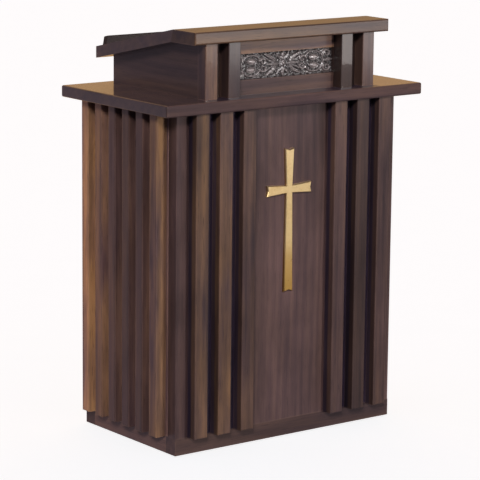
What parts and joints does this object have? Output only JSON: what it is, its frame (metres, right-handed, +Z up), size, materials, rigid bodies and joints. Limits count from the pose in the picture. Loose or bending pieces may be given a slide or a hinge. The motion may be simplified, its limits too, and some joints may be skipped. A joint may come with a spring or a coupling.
{
  "type": "presentation lectern",
  "caption": "Dark walnut pulpit lectern: open-backed cabinet with vertical fins, gilded cross, wide deck, carved riser and sloping reading desk with a book stop.",
  "frame": {"origin": "on the floor, under the middle of the deck", "axes": "+Z up, -Y towards the audience, +X to the right as the audience sees it"},
  "size_m": [0.9, 0.515, 1.177],
  "materials": {
    "walnut_lacquered": "dark stained, glossy lacquer",
    "walnut_carved": "carved, dark stained, high-gloss lacquer",
    "walnut_plain": "dark stained, satin",
    "beech": "plain",
    "gilt_brass": "gilded, satin",
    "zinc_steel": "zinc plated",
    "nylon": "matte"
  },
  "bodies": {
    "root": {"back_top_rail": "walnut_plain", "base_screws": "zinc_steel", "book_stop": "walnut_lacquered", "bottom_board": "walnut_plain", "carved_grille": "walnut_carved", "corner_dowels": "beech", "cross": "gilt_brass", "cross_studs": "gilt_brass", "deck": "walnut_lacquered", "deck_cleat_left": "walnut_plain", "deck_cleat_right": "walnut_plain", "deck_screws": "zinc_steel", "desk_cleat_front": "walnut_plain", "desk_cleat_left": "walnut_plain", "desk_cleat_right": "walnut_plain", "desk_ledge": "walnut_lacquered", "desk_screws": "zinc_steel", "front_fin_1": "walnut_lacquered", "front_fin_2": "walnut_lacquered", "front_fin_3": "walnut_lacquered", "front_fin_4": "walnut_lacquered", "front_fin_5": "walnut_lacquered", "front_fin_6": "walnut_lacquered", "front_panel": "walnut_lacquered", "glides": "nylon", "grille_backing": "walnut_plain", "inner_shelf": "walnut_plain", "left_fin_1": "walnut_lacquered", "left_fin_2": "walnut_lacquered", "left_fin_3": "walnut_lacquered", "left_fin_4": "walnut_lacquered", "left_fin_5": "walnut_lacquered", "left_fin_6": "walnut_lacquered", "left_side_panel": "walnut_lacquered", "plinth_front": "walnut_lacquered", "plinth_left": "walnut_lacquered", "plinth_rear": "walnut_lacquered", "plinth_right": "walnut_lacquered", "reading_board": "walnut_lacquered", "right_fin_1": "walnut_lacquered", "right_fin_2": "walnut_lacquered", "right_fin_3": "walnut_lacquered", "right_fin_4": "walnut_lacquered", "right_fin_5": "walnut_lacquered", "right_fin_6": "walnut_lacquered", "right_side_panel": "walnut_lacquered", "riser_batten_1": "walnut_lacquered", "riser_batten_2": "walnut_lacquered", "riser_batten_3": "walnut_lacquered", "riser_batten_4": "walnut_lacquered", "riser_bottom_rail": "walnut_lacquered", "riser_left_panel": "walnut_lacquered", "riser_left_stile": "walnut_lacquered", "riser_right_panel": "walnut_lacquered", "riser_right_stile": "walnut_lacquered", "riser_screws": "zinc_steel", "riser_top_rail": "walnut_lacquered", "shelf_pins": "zinc_steel"}
  },
  "joints": []
}
